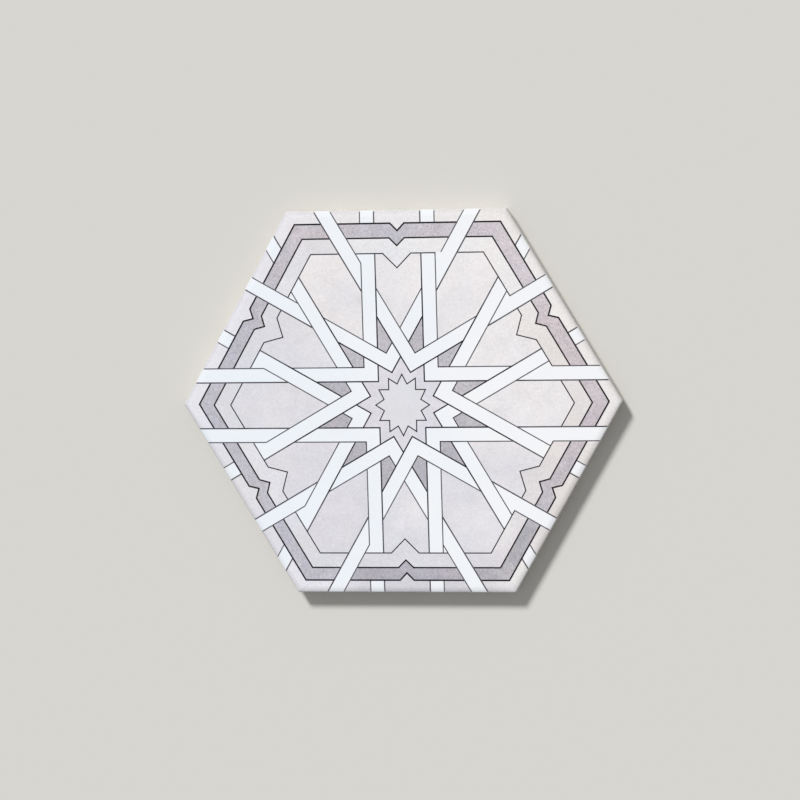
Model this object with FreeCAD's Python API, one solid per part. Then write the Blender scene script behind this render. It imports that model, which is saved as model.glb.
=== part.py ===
import FreeCAD, Part
import math
import os

# Hexagonal glazed floor tile, pressed and fired as one piece, in millimetres.
# The origin is the middle of the bedding plane. +Z goes up through the glazed face, and +X
# goes through a corner, so that two of the six sides run parallel to X.

# Plan and section
across_flats = 200.0
thickness = 9.0
corner_radius = 1.6

# Edge: the face rolls off gently to a rounded arris. A plumb band below it meets the joint,
# and then the draft of the die runs down to a small bevel round the back
roll_width = 3.6
roll_drop = 0.5
arris_radius = 0.8
plumb_band_height = 4.2
side_draft_inset = 0.7
back_bevel = 0.9

# Back: a honeycomb of shallow keying pockets inside a plain margin
pocket_across_flats = 13.5
pocket_depth = 0.8
pocket_wall_inset = 0.45
rib_width = 2.5
back_margin = 6.0

SIDES = 6
SQRT3 = math.sqrt(3.0)
UPRIGHT = FreeCAD.Vector(0.0, 0.0, 1.0)


def hexagon_points(inradius, z, first_corner_deg, centre=(0.0, 0.0)):
    """Corners of a regular hexagon, anticlockwise from the direction first_corner_deg."""
    radius = inradius * 2.0 / SQRT3
    points = []
    for corner in range(SIDES):
        angle = math.radians(first_corner_deg + corner * 360.0 / SIDES)
        x = centre[0] + radius * math.cos(angle)
        y = centre[1] + radius * math.sin(angle)
        points.append(FreeCAD.Vector(x, y, z))
    return points


def rounded_hexagon(inradius, z):
    """The tile's outline at one height: six straight sides joined by tangent arcs."""
    corners = hexagon_points(inradius, z, 0.0)
    tangent_length = corner_radius / SQRT3
    arc_rise = corner_radius * (2.0 / SQRT3 - 1.0)
    middle = FreeCAD.Vector(0.0, 0.0, z)
    arc_ends = []
    for index, corner in enumerate(corners):
        before = corners[index - 1]
        after = corners[(index + 1) % SIDES]
        start = corner + (before - corner).normalize() * tangent_length
        crest = corner + (middle - corner).normalize() * arc_rise
        end = corner + (after - corner).normalize() * tangent_length
        arc_ends.append((start, crest, end))
    edges = []
    for index, (start, crest, end) in enumerate(arc_ends):
        next_start = arc_ends[(index + 1) % SIDES][0]
        edges.append(Part.Arc(start, crest, end).toShape())
        edges.append(Part.LineSegment(end, next_start).toShape())
    return Part.Wire(edges)


def turned(shape, degrees):
    """A copy of the shape, turned about the Z axis."""
    copy = shape.copy()
    copy.rotate(FreeCAD.Vector(0.0, 0.0, 0.0), UPRIGHT, degrees)
    return copy


def cap_section(side, level_edge):
    """Half a section of the cap in the YZ plane, from Y = 0 out to a plumb side at Y = side.
    Its top is level from Y = 0 to Y = level_edge, then rolls off and ends in the arris."""
    foot = thickness - plumb_band_height
    roll_radius = (roll_width**2 + roll_drop**2) / (2.0 * roll_drop)
    roll_centre = FreeCAD.Vector(0.0, side - roll_width, thickness - roll_radius)
    first_lean = math.asin((level_edge - roll_centre.y) / roll_radius)
    arris_lean = math.asin((roll_width - arris_radius) / (roll_radius - arris_radius))
    side_lean = math.radians(90.0)

    def along(lean, length):
        return FreeCAD.Vector(0.0, length * math.sin(lean), length * math.cos(lean))

    def on_roll(lean):
        return roll_centre + along(lean, roll_radius)

    def on_arris(lean):
        return roll_centre + along(arris_lean, roll_radius - arris_radius) + along(lean, arris_radius)

    roll = Part.Arc(on_roll(first_lean), on_roll((first_lean + arris_lean) / 2.0), on_roll(arris_lean))
    arris = Part.Arc(on_roll(arris_lean), on_arris((arris_lean + side_lean) / 2.0), on_arris(side_lean))
    corners = [
        on_arris(side_lean),
        FreeCAD.Vector(0.0, side, foot),
        FreeCAD.Vector(0.0, 0.0, foot),
        FreeCAD.Vector(0.0, 0.0, on_roll(first_lean).z),
        on_roll(first_lean),
    ]
    straights = [
        Part.LineSegment(start, end).toShape()
        for start, end in zip(corners, corners[1:])
        if start.distanceToPoint(end) > 1e-6
    ]
    return Part.Face(Part.Wire([roll.toShape(), arris.toShape()] + straights))


def mitred_cap():
    """The cap with sharp corners: three bars with the edge section on both sides, crossed."""
    inradius = across_flats / 2.0
    length = 1.25 * across_flats
    half_bar = cap_section(inradius, inradius - roll_width).extrude(FreeCAD.Vector(length, 0.0, 0.0))
    half_bar.translate(FreeCAD.Vector(-length / 2.0, 0.0, 0.0))
    bar = half_bar.fuse(turned(half_bar, 180.0)).removeSplitter()
    return bar.common(turned(bar, 60.0)).common(turned(bar, 120.0))


def corner_wedge():
    """The sixth of a turn that a corner's round takes up, from its axis past the sharp corner."""
    ray = 2.0 * corner_radius
    points = [FreeCAD.Vector(0.0, 0.0, 0.0)]
    for angle in (math.radians(-30.0), math.radians(30.0)):
        points.append(FreeCAD.Vector(ray * math.cos(angle), ray * math.sin(angle), 0.0))
    outline = Part.makePolygon(points + points[:1])
    return Part.Face(outline).extrude(UPRIGHT * (2.0 * thickness))


def corner_round():
    """The same sixth of a turn of the edge section, revolved about the corner's axis."""
    section = turned(cap_section(corner_radius, 0.0), -120.0)
    return section.revolve(FreeCAD.Vector(0.0, 0.0, 0.0), UPRIGHT, 60.0)


def face_cap():
    """The cap above the drafted foot, with its six mitred corners replaced by round ones."""
    to_corner = FreeCAD.Vector((across_flats / 2.0 - corner_radius) * 2.0 / SQRT3, 0.0, 0.0)
    wedge = corner_wedge().translated(to_corner)
    rounding = corner_round().translated(to_corner)
    wedges = [turned(wedge, corner * 60.0) for corner in range(SIDES)]
    rounds = [turned(rounding, corner * 60.0) for corner in range(SIDES)]
    return mitred_cap().cut(wedges).fuse(rounds)


def drafted_foot():
    """The lower part of the tile, which the draft and the back's bevel draw in."""
    inradius = across_flats / 2.0
    levels = [
        (0.0, side_draft_inset + back_bevel),
        (back_bevel, side_draft_inset),
        (thickness - plumb_band_height, 0.0),
    ]
    sections = [rounded_hexagon(inradius - inset, z) for z, inset in levels]
    return Part.makeLoft(sections, True, True)


def pocket_cells():
    """Middles of the honeycomb's cells: every cell that stays inside the plain margin."""
    pitch = pocket_across_flats + rib_width
    row_height = pitch * SQRT3 / 2.0
    room = across_flats / 2.0 - side_draft_inset - back_bevel - back_margin
    reach = pocket_across_flats / SQRT3
    rings = int(room / row_height) + 1
    cells = []
    for row in range(-rings, rings + 1):
        for column in range(-2 * rings, 2 * rings + 1):
            x = (column + row / 2.0) * pitch
            y = row * row_height
            furthest = max(
                abs(x * math.cos(angle) + y * math.sin(angle))
                for angle in (math.radians(90.0), math.radians(30.0), math.radians(-30.0))
            )
            if furthest + reach <= room:
                cells.append((x, y))
    return cells


def keying_pocket(centre):
    """One pocket: a hexagon with a corner towards +Y whose walls slope in to its floor."""
    mouth = hexagon_points(pocket_across_flats / 2.0, 0.0, 90.0, centre)
    floor = hexagon_points(pocket_across_flats / 2.0 - pocket_wall_inset, pocket_depth, 90.0, centre)
    outlines = [Part.makePolygon(points + points[:1]) for points in (mouth, floor)]
    return Part.makeLoft(outlines, True, True)


def floor_tile():
    """The whole tile: its foot and cap as one solid, with the honeycomb pressed into the back."""
    pockets = [keying_pocket(centre) for centre in pocket_cells()]
    return drafted_foot().fuse(face_cap()).removeSplitter().cut(pockets)


os.makedirs("parts", exist_ok=True)
tile = floor_tile()
tile.exportStep("parts/floor_tile.step")
print("floor_tile: volume", round(tile.Volume / 1000.0, 1), "cm3, pockets", len(pocket_cells()))
box = tile.optimalBoundingBox(False)
print("box", [round(value, 2) for value in (box.XLength, box.YLength, box.ZLength)])
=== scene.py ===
import math

import bpy
from mathutils import Matrix, Vector
from mathutils.geometry import delaunay_2d_cdt
from mathutils.kdtree import KDTree


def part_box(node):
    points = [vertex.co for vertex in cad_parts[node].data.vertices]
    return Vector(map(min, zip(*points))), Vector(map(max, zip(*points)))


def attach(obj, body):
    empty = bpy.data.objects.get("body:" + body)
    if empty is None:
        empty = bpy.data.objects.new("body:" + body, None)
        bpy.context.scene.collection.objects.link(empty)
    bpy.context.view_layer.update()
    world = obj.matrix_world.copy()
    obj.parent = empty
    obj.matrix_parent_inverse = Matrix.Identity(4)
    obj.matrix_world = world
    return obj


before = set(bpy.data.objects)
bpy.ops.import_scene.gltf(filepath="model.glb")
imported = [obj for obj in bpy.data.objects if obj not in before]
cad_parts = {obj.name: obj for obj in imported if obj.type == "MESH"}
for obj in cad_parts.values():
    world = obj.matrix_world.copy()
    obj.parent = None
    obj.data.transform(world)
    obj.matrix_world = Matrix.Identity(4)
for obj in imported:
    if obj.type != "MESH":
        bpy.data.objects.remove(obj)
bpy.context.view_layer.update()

mm = 0.001

# The tile as the CAD made it. The print is laid over its face, so it follows these sizes.
tile = {
    "node": "floor_tile",
    "slot": "glazed_porcelain",
    "rollWidth": 3.6,         # mm, how far in from the side the face starts to roll off
    "rollDrop": 0.5,          # mm, how much lower the roll would be at the side
    "arris": 0.8,             # mm, radius of the arris between the roll and the side
    "cornerRadius": 1.6,      # mm, in plan
    "rollSteps": 5,
    "arrisSteps": 7,
    "cornerSteps": 6,
}
lowest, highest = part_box(tile["node"])
inradius = (highest[1] - lowest[1]) / 2 / mm
faceHeight = highest[2] / mm
rollRadius = (tile["rollWidth"] ** 2 + tile["rollDrop"] ** 2) / (2 * tile["rollDrop"])
arrisLean = math.asin((tile["rollWidth"] - tile["arris"]) / (rollRadius - tile["arris"]))
arrisInset = tile["rollWidth"] - rollRadius * math.sin(arrisLean)
arrisFoot = faceHeight - rollRadius + (rollRadius - tile["arris"]) * math.cos(arrisLean)
print("tile is", round(inradius * 2, 2), "mm across flats and", round(faceHeight, 2), "mm thick")


# Plane geometry in mm, seen from above

def away(degrees, length=1.0):
    return Vector((math.cos(math.radians(degrees)), math.sin(math.radians(degrees)))) * length


def meet(firstDegrees, firstOffset, secondDegrees, secondOffset):
    # where two lines cross, each given by its normal's direction and its distance from the middle
    a = away(firstDegrees)
    b = away(secondDegrees)
    cross = a.x * b.y - a.y * b.x
    return Vector((
        (firstOffset * b.y - secondOffset * a.y) / cross,
        (secondOffset * a.x - firstOffset * b.x) / cross,
    ))


def outline(inset):
    # the tile's outline in plan, moved in by inset: its corners are short arcs, or sharp further in
    radius = tile["cornerRadius"] - inset
    points = []
    for corner in range(6):
        if radius <= 0:
            points.append(away(60 * corner, (inradius - inset) * 2 / math.sqrt(3)))
            continue
        middle = away(60 * corner, (inradius - tile["cornerRadius"]) * 2 / math.sqrt(3))
        for step in range(tile["cornerSteps"] + 1):
            turn = 60 * corner - 30 + 60 * step / tile["cornerSteps"]
            points.append(middle + away(turn, radius))
    return points


def edgeOf(point):
    # how far a point is inside the outline, and which way is straight out of the tile there
    reach = inradius - tile["cornerRadius"]
    side = max(range(6), key=lambda index: away(30 + 60 * index).dot(point))
    out = away(30 + 60 * side)
    along = Vector((-out.y, out.x))
    beyond = out.dot(point) - reach
    slide = along.dot(point)
    past = abs(slide) - reach / math.sqrt(3)
    if beyond > 0 and past > 0:
        way = out * beyond + along * math.copysign(past, slide)
        return tile["cornerRadius"] - way.length, way.normalized()
    return tile["cornerRadius"] - beyond, out


def leanAt(inset):
    # how far the face leans outwards at an inset, in radians
    if inset < arrisInset:
        return math.asin(min(1.0, 1 - inset / tile["arris"]))
    return math.asin(max(0.0, tile["rollWidth"] - inset) / rollRadius)


def surface(point, proud):
    # a point of the face, its roll and its arris, lifted along the surface's normal
    inset, out = edgeOf(point)
    lean = leanAt(inset)
    normal = Vector((out.x * math.sin(lean), out.y * math.sin(lean), math.cos(lean)))
    if inset < arrisInset:
        height = arrisFoot + tile["arris"] * math.cos(lean)
    else:
        height = faceHeight - rollRadius * (1 - math.cos(lean))
    place = Vector((point.x, point.y, height)) + normal * proud
    return place * mm, normal


def contours():
    # the insets at which the face needs an edge, so that its roll and arris come out round
    insets = []
    for step in range(tile["arrisSteps"]):
        lean = math.pi / 2 + (arrisLean - math.pi / 2) * step / tile["arrisSteps"]
        insets.append(tile["arris"] * (1 - math.sin(lean)))
    for step in range(tile["rollSteps"] + 1):
        lean = arrisLean * (1 - step / tile["rollSteps"])
        insets.append(tile["rollWidth"] - rollRadius * math.sin(lean))
    return insets


# Nodes: a socket that sums like a number, and a finish that makes its own nodes

class Lead:
    def __init__(self, finish, socket):
        self.finish = finish
        self.socket = socket

    def maths(self, operation, *values):
        return self.finish.add("ShaderNodeMath", {"operation": operation}, list(values))

    def __add__(self, other):
        return self.maths("ADD", self, other)

    def __radd__(self, other):
        return self.maths("ADD", other, self)

    def __sub__(self, other):
        return self.maths("SUBTRACT", self, other)

    def __rsub__(self, other):
        return self.maths("SUBTRACT", other, self)

    def __mul__(self, other):
        return self.maths("MULTIPLY", self, other)

    def __rmul__(self, other):
        return self.maths("MULTIPLY", other, self)

    def __abs__(self):
        return self.maths("ABSOLUTE", self)

    def over(self, other):
        # the larger of the two
        return self.maths("MAXIMUM", self, other)

    def ramp(self, low, high, form="SMOOTHSTEP"):
        # 0 at low and 1 at high, level beyond them
        values = {"Value": self, "From Min": low, "From Max": high}
        return self.finish.add("ShaderNodeMapRange", {"interpolation_type": form}, values)


class Finish:
    def __init__(self, owner, shader="BSDF_PRINCIPLED"):
        # owner is a new material or the world, and shader is the type of the node that shades it
        owner.use_nodes = True
        self.owner = owner
        self.tree = owner.node_tree
        self.shader = next(node for node in self.tree.nodes if node.type == shader)
        self.where = self.add("ShaderNodeTexCoord", {}, {}, "Object")

    def add(self, kind, settings, values, output=0):
        # a node's type, its settings, which are set first, and the values or links of its sockets
        node = self.tree.nodes.new(kind)
        for key, value in settings.items():
            setattr(node, key, value)
        pairs = values.items() if isinstance(values, dict) else enumerate(values)
        for key, value in pairs:
            self.put(node.inputs[key], value)
        return Lead(self, node.outputs[output])

    def put(self, socket, value):
        if isinstance(value, Lead):
            self.tree.links.new(value.socket, socket)
        else:
            socket.default_value = value

    def set(self, **values):
        for key, value in values.items():
            self.put(self.shader.inputs[key.replace("_", " ")], value)

    def noise(self, size, detail=3.0, rough=0.55, offset=0.0, warp=0.0, stretch=1.0):
        # size is the width of one blotch in mm, and stretch is how many times higher it is
        where = self.add(
            "ShaderNodeVectorMath", {"operation": "MULTIPLY"}, [self.where, (1.0, 1.0, 1 / stretch)]
        )
        moved = self.add(
            "ShaderNodeVectorMath", {"operation": "ADD"}, [where, (offset, offset * 0.7, 0.0)]
        )
        values = {
            "Vector": moved,
            "Scale": 1 / (size * mm),
            "Detail": detail,
            "Roughness": rough,
            "Distortion": warp,
        }
        return self.add("ShaderNodeTexNoise", {}, values, "Fac")

    def mix(self, factor, first, second, blend="MIX"):
        # two colours mixed; a Mix node lists its colour sockets after its number ones
        settings = {"data_type": "RGBA", "blend_type": blend}
        return self.add("ShaderNodeMix", settings, {"Factor": factor, 6: first, 7: second}, 2)

    def split(self, vector):
        node = self.add("ShaderNodeSeparateXYZ", {}, [vector]).socket.node
        return [Lead(self, socket) for socket in node.outputs]

    def bump(self, height, depth):
        self.set(Normal=self.add("ShaderNodeBump", {}, {"Height": height, "Distance": depth * mm}))


def linear(channel):
    share = channel / 255
    return share / 12.92 if share <= 0.04045 else ((share + 0.055) / 1.055) ** 2.4


def colour(red, green, blue):
    return (linear(red), linear(green), linear(blue), 1.0)


# Camera, floor and light

view = {
    "lens": 144.0,                        # mm
    "sensor": 36.0,                       # mm
    "clipStart": 0.01,                    # m, and so are the places below
    "place": (0.28778, 0.20631, 1.63075),
    "target": (-0.00033, 0.00143, 0.0090),
    "up": (0.0295, 1.0, 0.0),
}
studio = {
    "floorSize": 6.0,                     # m
    "floorColour": colour(214, 212, 207),
    "floorRoughness": 0.9,
    "floorSheen": 0.1,
    "backdrop": colour(216, 214, 209),    # the lit floor's tone, which only the camera sees
    "skyStrength": 0.36,
    "keyStrength": 3.33,
    "keyAzimuth": 116.5,                  # degrees, where the light comes from
    "keyElevation": 38.0,
    "keyAngle": 11.0,                     # degrees across, so the shadow's edge is soft
}


def addObject(name, data):
    made = bpy.data.objects.new(name, data)
    bpy.context.scene.collection.objects.link(made)
    return made


def makeCamera():
    camera = addObject("camera", bpy.data.cameras.new("camera"))
    camera.data.lens = view["lens"]
    camera.data.sensor_width = view["sensor"]
    camera.data.clip_start = view["clipStart"]
    backward = (Vector(view["place"]) - Vector(view["target"])).normalized()
    right = Vector(view["up"]).cross(backward).normalized()
    up = backward.cross(right)
    turn = Matrix((right, up, backward)).transposed().to_4x4()
    camera.matrix_world = Matrix.Translation(view["place"]) @ turn
    bpy.context.scene.camera = camera


def makeFloor():
    half = studio["floorSize"] / 2
    mesh = bpy.data.meshes.new("floor")
    corners = [(-half, -half, 0), (half, -half, 0), (half, half, 0), (-half, half, 0)]
    mesh.from_pydata(corners, [], [(0, 1, 2, 3)])
    floor = addObject("floor", mesh)
    finish = Finish(bpy.data.materials.new("palePlaster"))
    finish.set(Base_Color=studio["floorColour"], Roughness=studio["floorRoughness"])
    finish.set(Specular_IOR_Level=studio["floorSheen"])
    mesh.materials.append(finish.owner)


def makeLight():
    key = addObject("key", bpy.data.lights.new("key", "SUN"))
    key.data.energy = studio["keyStrength"]
    key.data.angle = math.radians(studio["keyAngle"])
    flat = away(studio["keyAzimuth"], math.cos(math.radians(studio["keyElevation"])))
    come = Vector((flat.x, flat.y, math.sin(math.radians(studio["keyElevation"]))))
    key.rotation_euler = come.to_track_quat("Z", "Y").to_euler()
    sky = Finish(bpy.data.worlds.new("studio"), "BACKGROUND")
    seen = sky.add("ShaderNodeLightPath", {}, {}, "Is Camera Ray")
    light = (studio["skyStrength"], studio["skyStrength"], studio["skyStrength"], 1.0)
    sky.set(Color=sky.mix(seen, light, studio["backdrop"]))
    bpy.context.scene.world = sky.owner


# The print: layers laid one over another, each a polygon with the zone that it fills. The strapwork
# is twelve chevrons round a star. Each chevron has its elbow towards the middle and two arms.

layout = {
    "strapShift": (0.72, -0.94),    # mm, how far the strapwork sits off the tile's middle
    "strapInner": 12.08,            # mm, from the middle to a strap's near edge and its far edge
    "strapOuter": 19.49,
    "uprightSlip": 0.50,            # mm, further out for the arms that cross on the upright axis
    "underlap": 1.0,                # mm, how far the grounds in the middle reach under the straps
    "starTip": 14.9,
    "starStretch": (0.95, 1.08),    # the star is drawn a little narrow and a little tall
    "starShift": (0.25, -0.25),     # mm, off the strapwork's middle
    "strapLine": 0.72,              # mm, width of the line along a strap's near edge
    "faintLine": 0.60,              # mm, and of the fainter one along its far edge
    # border lines from the rim in: distance from the middle, the notch's half width and depth, the
    # line's width and ink, the ground inside it and how far it sits off the tile's middle, all in mm
    "borders": (
        {
            "distance": 93.39,
            "notch": (3.7, 3.9),
            "line": 0.86,
            "ink": "borderInk",
            "inside": "border",
            "shift": (0.70, -0.08),
        },
        {
            "distance": 86.24,
            "notch": (4.0, 4.0),
            "line": 0.80,
            "ink": "borderInk",
            "inside": "paleBand",
            "shift": (0.35, -0.54),
        },
        {
            "distance": 78.39,
            "notch": (7.35, 7.5),
            "line": 0.62,
            "ink": "petalInk",
            "inside": "field",
            "shift": (0.13, -0.67),
        },
    ),
    "runOff": 125.0,          # mm from the middle, past the tile's edge
    # direction of each arm in the upper left quadrant, its chevron's, and whether it ends at the
    # third border line; from the lowest arm to the highest
    "arms": (
        (120, 75, False),
        (90, 135, True),
        (150, 105, False),
        (120, 165, True),
        (180, 135, False),
        (150, 195, True),
    ),
    # direction and chevron of the arms whose wedge keeps the lines on both its flanks, and of the
    # one whose wedge has no border line across its end
    "linedWedges": ((-90, -45), (120, 165)),
    "openWedge": (90, 45),
}


def star(tip, stretch=(1.0, 1.0), shift=(0.0, 0.0)):
    # twelve rays, with right-angled notches between them
    points = []
    for corner in range(24):
        point = away(15 * corner, tip if corner % 2 == 0 else tip / math.sqrt(2))
        points.append(Vector((point.x * stretch[0] + shift[0], point.y * stretch[1] + shift[1])))
    return points


def widened(points, by):
    # the closed polygon moved out by a distance, with its corners kept sharp
    moved = []
    for index, point in enumerate(points):
        before = (point - points[index - 1]).normalized()
        after = (points[(index + 1) % len(points)] - point).normalized()
        first = Vector((before.y, -before.x))
        second = Vector((after.y, -after.x))
        moved.append(point + (first + second) * by / (1 + first.dot(second)))
    return moved


def borderLoop(border):
    # a hexagon with a notch in the middle of each side
    distance = border["distance"]
    halfWidth, depth = border["notch"]
    points = []
    for side in range(6):
        facing = 30 + 60 * side
        out = away(facing)
        along = away(facing + 90)
        points.append(meet(facing - 60, distance, facing, distance))
        points.append(out * distance - along * halfWidth)
        points.append(out * (distance - depth))
        points.append(out * distance + along * halfWidth)
    return points


def armEnd(cut, stops):
    # how far out an arm is cut: past the tile's edge, or where it meets the third border line
    if not stops:
        return layout["runOff"]
    border = layout["borders"][-1]
    offset = Vector(border["shift"]) - Vector(layout["strapShift"])
    return border["distance"] - border["line"] / 2 + away(cut).dot(offset)


def armCut(direction, chevron):
    # the side of the tile that an arm runs towards; one that points at a corner takes the side on
    # its own flank
    if direction % 60 == 0:
        return direction - math.copysign(30, direction - chevron)
    return round((direction - 30) / 60) * 60 + 30


def armSlip(direction, chevron):
    # how much further out an arm lies: only the steep ones nearest the upright axis do
    steep = abs(math.sin(math.radians(direction))) > 0.8
    upright = abs(math.sin(math.radians(chevron))) > 0.9
    return layout["uprightSlip"] if steep and upright else 0.0


def strip(direction, chevron, near, far, stops):
    # a band along one arm between two distances from the middle, mitred with the chevron's other
    # arm and cut parallel to the tile's side
    side = math.copysign(90, direction - chevron)
    normal = direction - side
    otherArm = 2 * chevron - direction
    otherNormal = otherArm + side
    slip = armSlip(direction, chevron)
    otherSlip = armSlip(otherArm, chevron)
    cut = armCut(direction, chevron)
    stop = armEnd(cut, stops)
    return [
        meet(normal, near + slip, otherNormal, near + otherSlip),
        meet(normal, far + slip, otherNormal, far + otherSlip),
        meet(normal, far + slip, cut, stop),
        meet(normal, near + slip, cut, stop),
    ]


def armLayers(direction, chevron, stops):
    # the strap's white body, with a line along its near edge and a fainter one along its far edge
    inner = layout["strapInner"]
    outer = layout["strapOuter"]
    layers = [("strap", strip(direction, chevron, inner, outer, stops))]
    for ink, line, distance in (
        ("strapInk", layout["strapLine"], inner),
        ("faintInk", layout["faintLine"], outer),
    ):
        near = distance - line / 2
        far = distance + line / 2
        layers.append((ink, strip(direction, chevron, near, far, stops)))
    return layers


def wedge(direction, chevron):
    # the sliver between an arm that stops and the one that crosses it: it is left white, and the
    # line on one flank of it is left out, the crossing arm's on the right and its own on the left
    side = math.copysign(1, direction - chevron)
    normal = direction - 90 * side
    # the arm that crosses this one comes from the second chevron further on
    otherArm = direction - 30 * side
    otherChevron = chevron + 60 * side
    otherNormal = otherArm + 90 * side
    half = layout["faintLine"] / 2
    flank = half if math.cos(math.radians(chevron)) > 0 else -half
    cut = armCut(direction, chevron)
    stop = armEnd(cut, True)
    if (direction, chevron) == layout["openWedge"]:
        stop += layout["borders"][-1]["line"]
    own = layout["strapOuter"] + flank
    other = layout["strapOuter"] - flank
    if (direction, chevron) in layout["linedWedges"]:
        own = layout["strapOuter"] + half
        other = own
    other += armSlip(otherArm, otherChevron)
    return [
        meet(normal, own, otherNormal, other),
        meet(otherNormal, other, cut, stop),
        meet(normal, own, cut, stop),
    ]


def allArms():
    # every arm from the lowest to the highest, by mirroring the upper left quadrant's six
    found = []
    for direction, chevron, stops in layout["arms"]:
        quadrants = [
            (180 - direction, 180 - chevron),
            (direction, chevron),
            (-direction, -chevron),
            (direction - 180, chevron - 180),
        ]
        if chevron == 75:
            # this pair crosses on the upright axis, with the right chevron's arm on top both times
            quadrants = [quadrants[0], quadrants[1], quadrants[3], quadrants[2]]
        for pair in quadrants:
            found.append((*pair, stops))
    return found


def kite(chevron):
    # the ground beyond a chevron's elbow, closed by the near edges of its neighbours' arms
    inner = layout["strapInner"]
    outer = layout["strapOuter"]
    return [
        meet(chevron - 45, outer, chevron + 45, outer),
        meet(chevron + 45, outer, chevron - 75, inner),
        meet(chevron + 75, inner, chevron - 75, inner),
        meet(chevron - 45, outer, chevron + 75, inner),
    ]


def anticlockwise(points):
    # the way round that every polygon must run before the face is cut along it
    area = sum(a.x * b.y - a.y * b.x for a, b in zip(points, points[1:] + points[:1]))
    return points if area > 0 else points[::-1]


def shifted(layers, shift):
    return [(zone, [point + Vector(shift) for point in points]) for zone, points in layers]


def printLayers():
    # from the bottom up; the arms that stop at the third border line show again outside the first
    arms = allArms()
    under = []
    for direction, chevron, stops in arms:
        if stops:
            under += armLayers(direction, chevron, False)
    layers = shifted(under, layout["strapShift"])
    for border in layout["borders"]:
        loop = borderLoop(border)
        half = border["line"] / 2
        line = [(border["ink"], widened(loop, half)), (border["inside"], widened(loop, -half))]
        layers += shifted(line, border["shift"])
    over = []
    for index in range(12):
        over.append(("kite", widened(kite(15 + 30 * index), layout["underlap"])))
    over.append(("ring", widened(star(2 * layout["strapInner"]), layout["underlap"])))
    middleStar = star(layout["starTip"], layout["starStretch"], layout["starShift"])
    over.append(("faintInk", widened(middleStar, layout["faintLine"] / 2)))
    over.append(("star", widened(middleStar, -layout["faintLine"] / 2)))
    for direction, chevron, stops in arms:
        over += armLayers(direction, chevron, stops)
    for direction, chevron, stops in arms:
        if stops:
            over.append(("strap", wedge(direction, chevron)))
    return layers + shifted(over, layout["strapShift"])


def joined(places, nearness=0.002):
    # for each point, the first of those that lie within a nearness in mm of it
    finder = KDTree(len(places))
    for index, place in enumerate(places):
        finder.insert((place.x, place.y, 0.0), index)
    finder.balance()
    return [
        min(index for spot, index, gap in finder.find_range((place.x, place.y, 0.0), nearness))
        for place in places
    ]


def divide():
    # cuts the face into triangles along every edge of every layer; the topmost layer names the zone
    layers = printLayers()
    polygons = [outline(inset) for inset in contours()]
    guides = len(polygons)
    polygons += [anticlockwise(points) for zone, points in layers]
    corners = []
    faces = []
    for points in polygons:
        faces.append(list(range(len(corners), len(corners) + len(points))))
        corners += [point.copy() for point in points]
    # 1 asks for triangles inside the polygons, and True for the polygons that each one lies in
    cut = delaunay_2d_cdt(corners, [], faces, 1, 1e-4, True)
    places, triangles, owners = cut[0], cut[2], cut[5]
    same = joined(places)
    zones = {}
    for triangle, owner in zip(triangles, owners):
        # left out is what lies outside polygon 0, the tile's outline, or has shrunk to a line
        triangle = tuple(same[corner] for corner in triangle)
        if 0 not in owner or len(set(triangle)) < 3:
            continue
        top = max(owner)
        zone = layers[top - guides][0] if top >= guides else "rim"
        zones.setdefault(zone, []).append(triangle)
    return places, zones


# Finishes of the glaze

glaze = {
    "roughness": 0.60,
    "sheen": 0.25,            # specular level of a matt glaze
    "patchSize": 24.0,        # mm, of glossier and duller patches
    "patches": 0.10,          # how far they move the roughness
    "ripple": 0.012,          # mm, depth of the fired surface's fine ripple
    "rippleSize": 1.6,        # mm
    "edgeThinningAndShade": 0.30,         # share of its brightness that the glaze loses at the side: partly where it thins out, partly painted shade that tones down the rolled edge's highlight
    "cloudSize": 14.0,        # mm
    "grainSize": 1.0,         # mm
    "hueSize": 22.0,          # mm, of the drift between rosy and blue
    "wanderSize": 38.0,       # mm, of the waves in a fade's or a wash's outline
    "fadeWander": 200.0,      # mm, how far they move a fade, and a wash
    "washWander": 50.0,
    "fade": 85.0,             # mm each way from the middle, between a ground's two colours
    "washCore": 0.3,          # share of a wash's reach in which it is at its strongest
    "printEnd": 0.5,          # mm from the side, where a ground and a line start to run out
    "inkEnd": 0.8,
    "bareFrom": 0.1,          # mm from the side, where no print is left
    "bare": colour(229, 227, 227),
    "hidden": colour(228, 226, 230),    # walls and undersides, sunk into the body
    "inkPatchSize": 9.0,      # mm, of the patches in which ink was laid thinner
    "inkPatches": 2.6,
}
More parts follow.
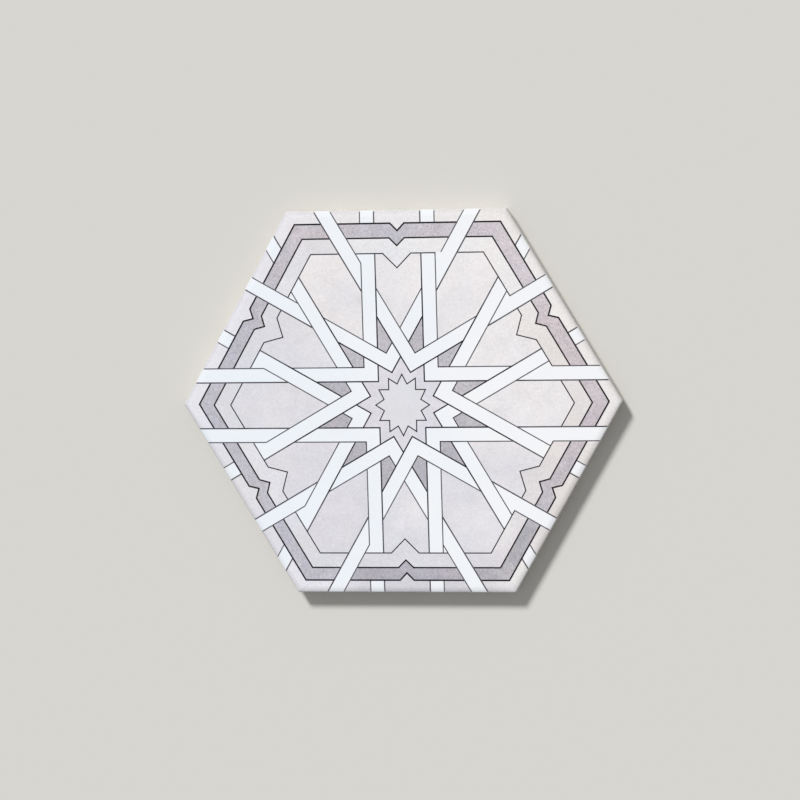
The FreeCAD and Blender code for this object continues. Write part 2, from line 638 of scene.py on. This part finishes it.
# Grounds: two colours, the direction in degrees from the first to the second, how far clouds and
# grain lighten and darken them, and how far their hue drifts between rosy and blue. Washes name a
# place below and what the colour is multiplied by: most tint the print, and those at the foot and
# the right foot are painted shade, darker towards the bottom and the lower right.
grounds = {
    "rim": {
        "colours": (colour(228, 227, 234), colour(236, 232, 231)),
        "axis": 10,
        "clouds": 0.14,
        "grain": 0.50,
        "drift": 0.06,
        "washesAndShades": {
            # painted shade: darker towards the bottom and the lower right
            "foot": (0.84, 0.84, 0.85),
            "rightFoot": (0.91, 0.90, 0.89),
            "leftFoot": (0.95, 0.95, 0.94),
        },
    },
    "paleBand": {
        "colours": (colour(224, 224, 230), colour(235, 232, 232)),
        "axis": 25,
        "clouds": 0.16,
        "grain": 0.56,
        "drift": 0.07,
        "washesAndShades": {
            "crown": (1.00, 1.015, 1.025),
            # painted shade: darker towards the bottom and the lower right
            "foot": (0.92, 0.92, 0.935),
            "rightFoot": (0.93, 0.91, 0.91),
            "left": (0.94, 0.94, 0.935),
            "right": (0.94, 0.92, 0.905),
            "highLeft": (0.90, 0.90, 0.93),
            "lowLeft": (0.94, 0.94, 0.94),
            "lowRight": (0.93, 0.905, 0.93),
        },
    },
    "field": {
        "colours": (colour(218, 217, 224), colour(236, 232, 233)),
        "axis": 50,
        "clouds": 0.26,
        "grain": 0.48,
        "drift": 0.07,
        "washesAndShades": {
            "smearHigh": (1.07, 1.07, 1.07),
            "smear": (1.09, 1.09, 1.09),
            "smearLow": (1.045, 1.045, 1.045),
        },
    },
    "ring": {
        "colours": (colour(221, 219, 226), colour(219, 216, 223)),
        "axis": 0,
        "clouds": 0.30,
        "grain": 0.50,
        "drift": 0.07,
        "washesAndShades": {},
    },
    "star": {
        "colours": (colour(221, 221, 226), colour(223, 223, 228)),
        "axis": 0,
        "clouds": 0.08,
        "grain": 0.26,
        "drift": 0.03,
        "washesAndShades": {},
    },
    "border": {
        "colours": (colour(189, 187, 196), colour(208, 200, 205)),
        "axis": 10,
        "clouds": 0.44,
        "grain": 1.35,
        "drift": 0.11,
        "washesAndShades": {
            # painted shade: darker towards the bottom and the lower right
            "foot": (0.81, 0.81, 0.83),
            "rightFoot": (0.89, 0.905, 0.92),
            "leftFoot": (1.03, 1.03, 1.03),
            "crown": (0.93, 0.95, 0.97),
            "right": (0.94, 0.92, 0.92),
            "lowRight": (0.85, 0.88, 0.88),
            "smudge": (0.80, 0.83, 0.85),
        },
    },
    "kite": {
        "colours": (colour(179, 177, 185), colour(195, 192, 198)),
        "axis": 67,
        "clouds": 0.32,
        "grain": 1.35,
        "drift": 0.08,
        "washesAndShades": {},
    },
    "strap": {
        "colours": (colour(236, 241, 247), colour(243, 244, 247)),
        "axis": 0,
        "clouds": 0.04,
        "grain": 0.12,
        "drift": 0.03,
        "edgeThinningAndShade": 0.6,      # share of the glaze's thinning and painted edge shade, because white covers better
        "washesAndShades": {},
    },
}
# where the washes and the painted shades lie: middle in mm and how far they reach in mm
washAndShadePlaces = {
    # the foot and the right foot hold painted shade, darker towards the bottom and lower right
    "foot": ((8, -92), 56),
    "rightFoot": ((76, -46), 46),
    "leftFoot": ((-76, -46), 46),
    "crown": ((12, 88), 60),
    "right": ((92, 10), 60),
    "left": ((-84, 20), 56),
    "highLeft": ((-46, 79), 30),
    "lowLeft": ((-44, -80), 28),
    "lowRight": ((54, -84), 25),
    "smudge": ((59, -75), 12),
    "smearHigh": ((6, -58), 15),
    "smear": ((-1, -64), 10),
    "smearLow": ((-6, -71), 7),
}
# Inks: fresh and worn colour, and between which distances from the middle, in mm, they wear thin.
inks = {
    "borderInk": (colour(16, 13, 18), colour(60, 56, 62), 112, 140),
    "strapInk": (colour(22, 20, 25), colour(88, 87, 93), 56, 72),
    "faintInk": (colour(34, 33, 38), colour(92, 91, 97), 30, 44),
    "petalInk": (colour(34, 32, 37), colour(84, 83, 89), 98, 120),
}


def glazeSurface(finish, roughness, sheen):
    ripple = finish.noise(glaze["rippleSize"], 2.0, 0.5, offset=3.1)
    patch = finish.noise(glaze["patchSize"], 2.0, 0.5, offset=8.7)
    finish.set(Roughness=roughness + (patch - 0.5) * glaze["patches"], Specular_IOR_Level=sheen)
    finish.bump(ripple, glaze["ripple"])


def sideward(finish):
    # distance from the middle towards the nearest side: the side itself is at the inradius
    x, y, z = finish.split(finish.where)
    return (math.cos(math.radians(30)) * abs(x) + 0.5 * abs(y)).over(abs(y))


def edgeShade(side, share=1.0):
    # darker towards the side over the rolled edge: partly the glaze thinning out so that the duller
    # body shows through, partly painted shade that tones down the edge's highlight
    thin = side.ramp((inradius - tile["rollWidth"]) * mm, inradius * mm, "LINEAR")
    return 1.0 - thin * thin * (glaze["edgeThinningAndShade"] * share)


def printEnd(side, inset):
    # 0 where there is print and 1 at the foot of the arris, where it has run out into bare glaze
    return side.ramp((inradius - inset) * mm, (inradius - glaze["bareFrom"]) * mm)


def groundFinish(name):
    ground = grounds[name]
    finish = Finish(bpy.data.materials.new(name + "Glaze"))
    x, y, z = finish.split(finish.where)
    axis = away(ground["axis"])
    wander = finish.noise(glaze["wanderSize"], 3.0, 0.5, offset=1.7) - 0.5
    along = x * axis.x + y * axis.y + wander * (glaze["fadeWander"] * mm)
    base = finish.mix(along.ramp(-glaze["fade"] * mm, glaze["fade"] * mm), *ground["colours"])
    # each wash tints the print; the foot and right foot ones paint shade, darker towards the bottom
    # and lower right
    for place, tint in ground["washesAndShades"].items():
        (across, up), reach = washAndShadePlaces[place]
        middle = (across * mm, up * mm, faceHeight * mm)
        gap = finish.add(
            "ShaderNodeVectorMath", {"operation": "DISTANCE"}, [finish.where, middle], "Value"
        )
        gap = gap + wander * (glaze["washWander"] * mm)
        share = 1.0 - gap.ramp(glaze["washCore"] * reach * mm, reach * mm)
        base = finish.mix(share, base, (*tint, 1.0), "MULTIPLY")
    side = sideward(finish)
    base = finish.mix(printEnd(side, glaze["printEnd"]), base, glaze["bare"])
    cloud = finish.noise(glaze["cloudSize"], 5.0, 0.65, offset=5.3, warp=0.8) - 0.5
    grain = finish.noise(glaze["grainSize"], 2.0, 0.7, offset=2.2, warp=1.5) - 0.5
    value = 1.0 + cloud * ground["clouds"] + grain * ground["grain"]
    # painted shade and the glaze's thinning darken the ground at the rolled edge
    value = value * edgeShade(side, ground.get("edgeThinningAndShade", 1.0))
    hue = (finish.noise(glaze["hueSize"], 3.0, 0.6, offset=11.9, warp=0.6) - 0.5) * ground["drift"]
    channels = [value * (1.0 + hue), value, value * (1.0 - hue)]
    tone = finish.add("ShaderNodeCombineColor", {}, channels)
    finish.set(Base_Color=finish.mix(1.0, base, tone, "MULTIPLY"))
    glazeSurface(finish, glaze["roughness"], glaze["sheen"])
    return finish.owner


def inkFinish(name):
    # ink drawn under the glaze: worn thin in patches, and far from the middle everywhere
    fresh, worn, near, far = inks[name]
    finish = Finish(bpy.data.materials.new(name))
    gap = finish.add("ShaderNodeVectorMath", {"operation": "LENGTH"}, [finish.where], "Value")
    patches = finish.noise(glaze["inkPatchSize"], 3.0, 0.6, offset=4.4) - 0.5
    thin = patches * glaze["inkPatches"] + gap.ramp(near * mm, far * mm)
    thin = thin.ramp(0.0, 1.0, "LINEAR")
    line = finish.mix(thin, fresh, worn)
    side = sideward(finish)
    # the bare glaze at the arris gets the same painted edge shade and thinning
    bare = finish.mix(edgeShade(side), (0.0, 0.0, 0.0, 1.0), glaze["bare"])
    finish.set(Base_Color=finish.mix(printEnd(side, glaze["inkEnd"]), line, bare))
    glazeSurface(finish, glaze["roughness"], glaze["sheen"])
    return finish.owner


def hiddenFinish():
    finish = Finish(bpy.data.materials.new("hiddenGlaze"))
    finish.set(Base_Color=glaze["hidden"], Roughness=glaze["roughness"])
    return finish.owner


finishes = {name: groundFinish(name) for name in grounds}
finishes.update({name: inkFinish(name) for name in inks})
finishes["hidden"] = hiddenFinish()


# Glaze on the face: each piece is one closed skin for some zones of the print

skin = {
    "proud": 0.03,            # mm, how far the glaze stands over the pressed body
    "thickness": 0.25,        # mm
    "mapWidth": 0.236,        # m, the print's width on its own map
    "pieces": {
        "ground_glaze": ("rim", "paleBand", "field", "ring", "star"),
        "mauve_glaze": ("border", "kite"),
        "strap_glaze": ("strap",),
        "ink_lines": ("borderInk", "strapInk", "faintInk", "petalInk"),
    },
}


def glazePiece(name, places, zones):
    zoneNames = skin["pieces"][name]
    tops = []
    for index, zone in enumerate(zoneNames):
        tops += [(triangle, index) for triangle in zones[zone]]
    used = sorted({corner for triangle, index in tops for corner in triangle})
    number = {corner: index for index, corner in enumerate(used)}
    upper = [surface(places[corner], skin["proud"]) for corner in used]
    lower = [surface(places[corner], skin["proud"] - skin["thickness"]) for corner in used]
    count = len(used)
    faces = [tuple(number[corner] for corner in triangle) for triangle, index in tops]
    slots = [index for triangle, index in tops]
    topCount = len(faces)
    edges = [edge for a, b, c in faces for edge in ((a, b), (b, c), (c, a))]
    paired = set(edges)
    # undersides face down, and a wall goes down from each edge that has no neighbour
    faces += [(c + count, b + count, a + count) for a, b, c in faces]
    faces += [(b, a, a + count, b + count) for a, b in edges if (b, a) not in paired]
    slots += [len(zoneNames)] * (len(faces) - topCount)
    mesh = bpy.data.meshes.new(name)
    mesh.from_pydata([place for place, normal in upper + lower], [], faces)
    for zone in (*zoneNames, "hidden"):
        mesh.materials.append(finishes[zone])
    mesh.polygons.foreach_set("material_index", slots)
    mesh.polygons.foreach_set("use_smooth", [True] * len(faces))
    bakeMap = mesh.uv_layers.new(name="OFBake")
    # the top takes the face's own normals, so that thin triangles don't show, and the rest is flat
    normals = []
    for polygon in mesh.polygons:
        for corner in polygon.loop_indices:
            vertex = mesh.loops[corner].vertex_index
            place = mesh.vertices[vertex].co / skin["mapWidth"]
            bakeMap.data[corner].uv = (0.5 + place.x, 0.5 + place.y)
            normals.append(upper[vertex][1] if polygon.index < topCount else polygon.normal.copy())
    mesh.normals_split_custom_set(normals)
    piece = addObject(name, mesh)
    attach(piece, "root")
    print(name, "has", len(faces), "faces")


# Edge glaze: it runs a little way down the sides and stops at a wavy bead

edgeGlaze = {
    "reach": 1.6,             # mm below the rounded edge
    "wave": 0.55,             # mm, how much the bead wanders up and down
    "bead": 0.13,             # mm, how far the bead stands out
    "crease": 50.0,           # degrees, what turns more than this stays sharp
    "sideSteps": 120,
    # waves round the tile, each with its share of the wander and its start in radians
    "waves": ((7, 0.40, 0.9), (17, 0.25, 2.3), (41, 0.17, 4.1), (97, 0.11, 0.4), (173, 0.07, 1.2)),
    "thin": colour(214, 208, 199),
    "patchSize": 6.0,         # mm, of the thin patches
    "pool": (0.9, 0.1),       # mm below the arris, where the pool is full and where it starts
    "poolGain": 0.8,          # share of the edge's darkening, thinning and painted shade, that the pool gives back
    "roughness": 0.40,        # it is glossier than the face, because it is thicker
    "sheen": 0.45,
}


def edgeGlazeFinish():
    # the glaze is thin where it breaks over the edge, and it pools above the bead; it starts from
    # the face's painted edge shade and thinning, which the pool lightens again
    finish = Finish(bpy.data.materials.new("edgeGlaze"))
    x, y, z = finish.split(finish.where)
    full, start = edgeGlaze["pool"]
    pooled = 1.0 - z.ramp((arrisFoot - full) * mm, (arrisFoot - start) * mm)
    patch = finish.noise(edgeGlaze["patchSize"], 3.0, 0.6, offset=7.3, warp=0.5)
    shade = edgeShade(sideward(finish))
    value = shade + (1.0 - shade) * pooled * edgeGlaze["poolGain"]
    base = finish.mix(patch.ramp(0.42, 0.62), glaze["bare"], edgeGlaze["thin"])
    tone = finish.add("ShaderNodeCombineColor", {}, [value, value, value])
    finish.set(Base_Color=finish.mix(1.0, base, tone, "MULTIPLY"))
    glazeSurface(finish, edgeGlaze["roughness"], edgeGlaze["sheen"])
    return finish.owner


def edgeSection(reach):
    # heights from the arris and distances out, down the outside to the bead and back up inside
    bead = edgeGlaze["bead"]
    return (
        (0.0, skin["proud"]),
        (-0.45 * reach, skin["proud"] * 1.2),
        (-0.80 * reach, bead * 0.9),
        (-0.93 * reach, bead),
        (-reach, bead * 0.35),
        (-reach - 0.03, -0.05),
        (-reach * 0.5, -0.20),
        (0.0, skin["proud"] - skin["thickness"]),
    )


def edgeGlazePiece():
    # places along the outline: straight sides in short steps, corners as arcs
    corners = outline(0.0)
    places = []
    for index, point in enumerate(corners):
        after = corners[(index + 1) % len(corners)]
        straight = (after - point).length > 10 * tile["cornerRadius"]
        steps = edgeGlaze["sideSteps"] if straight else 1
        places += [point.lerp(after, step / steps) for step in range(steps)]
    verts = []
    for index, point in enumerate(places):
        turn = 2 * math.pi * index / len(places)
        waves = [size * math.sin(count * turn + start) for count, size, start in edgeGlaze["waves"]]
        reach = edgeGlaze["reach"] + edgeGlaze["wave"] * sum(waves)
        out = edgeOf(point)[1]
        for height, proud in edgeSection(reach):
            place = Vector((point.x + out.x * proud, point.y + out.y * proud, arrisFoot + height))
            verts.append(place * mm)
    rows = len(verts) // len(places)
    faces = []
    for column in range(len(places)):
        nextColumn = (column + 1) % len(places)
        for row in range(rows):
            nextRow = (row + 1) % rows
            faces.append((
                column * rows + row,
                column * rows + nextRow,
                nextColumn * rows + nextRow,
                nextColumn * rows + row,
            ))
    mesh = bpy.data.meshes.new("edge_glaze")
    mesh.from_pydata(verts, [], faces)
    mesh.materials.append(edgeGlazeFinish())
    mesh.polygons.foreach_set("use_smooth", [True] * len(faces))
    mesh.set_sharp_from_angle(angle=math.radians(edgeGlaze["crease"]))
    piece = addObject("edge_glaze", mesh)
    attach(piece, "root")
    print("edge_glaze has", len(faces), "faces")


# Biscuit: the pressed body, bare on the sides and the back

biscuit = {
    "body": colour(207, 203, 196),
    "dark": colour(177, 172, 164),
    "wash": colour(226, 224, 219),
    "fleck": colour(150, 139, 126),
    "roughness": 0.86,
    "grain": 0.05,            # mm, depth of the pressed grain
    "grainSize": 0.45,        # mm, and so are the sizes below
    "cloudSize": 30.0,
    "dragSize": 0.9,          # across a drag mark, which is dragStretch times as high
    "dragStretch": 9.0,
    "fleckSize": 0.9,
    "smearSize": 11.0,
    "washHeight": (0.02, 0.20),     # mm over the bottom, from the full kiln wash to none
}


def biscuitFinish():
    finish = Finish(bpy.data.materials.new("biscuit"))
    x, y, z = finish.split(finish.where)
    cloud = finish.noise(biscuit["cloudSize"], 4.0, 0.6, offset=6.1, warp=0.5)
    grain = finish.noise(biscuit["grainSize"], 3.0, 0.6, offset=9.3)
    drag = finish.noise(biscuit["dragSize"], 3.0, 0.7, offset=21.4, stretch=biscuit["dragStretch"])
    fleck = finish.noise(biscuit["fleckSize"], 1.0, 0.5, offset=12.8).ramp(0.70, 0.76)
    body = finish.mix(cloud.ramp(0.35, 0.70), biscuit["body"], biscuit["dark"])
    body = finish.mix((grain - 0.3) * 0.35, body, biscuit["dark"])
    body = finish.mix(drag.ramp(0.42, 0.66) * 0.30, body, biscuit["dark"])
    body = finish.mix(fleck * 0.55, body, biscuit["fleck"])
    # the kiln wash is a thin white smear on the ribs and margin, and the pockets stay dusty
    low, high = biscuit["washHeight"]
    ribs = 1.0 - z.ramp(low * mm, high * mm)
    smear = finish.noise(biscuit["smearSize"], 4.0, 0.65, offset=15.2, warp=0.8).ramp(0.42, 0.60)
    body = finish.mix(ribs * smear * 0.8, body, biscuit["wash"])
    finish.set(Base_Color=body, Roughness=biscuit["roughness"])
    finish.bump(grain + drag * 0.6 + fleck * 0.4, biscuit["grain"])
    return finish.owner


def dressBody():
    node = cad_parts[tile["node"]]
    node.data.materials.clear()
    node.data.materials.append(biscuitFinish())


makeCamera()
makeFloor()
makeLight()
print("camera, floor and light are set")

dressBody()
print("body is dressed")

faceParts, faceZones = divide()
print("face is divided into", sum(len(found) for found in faceZones.values()), "triangles")
for pieceName in skin["pieces"]:
    glazePiece(pieceName, faceParts, faceZones)
edgeGlazePiece()

sceneSettings = bpy.context.scene.view_settings
sceneSettings.view_transform = "Standard"
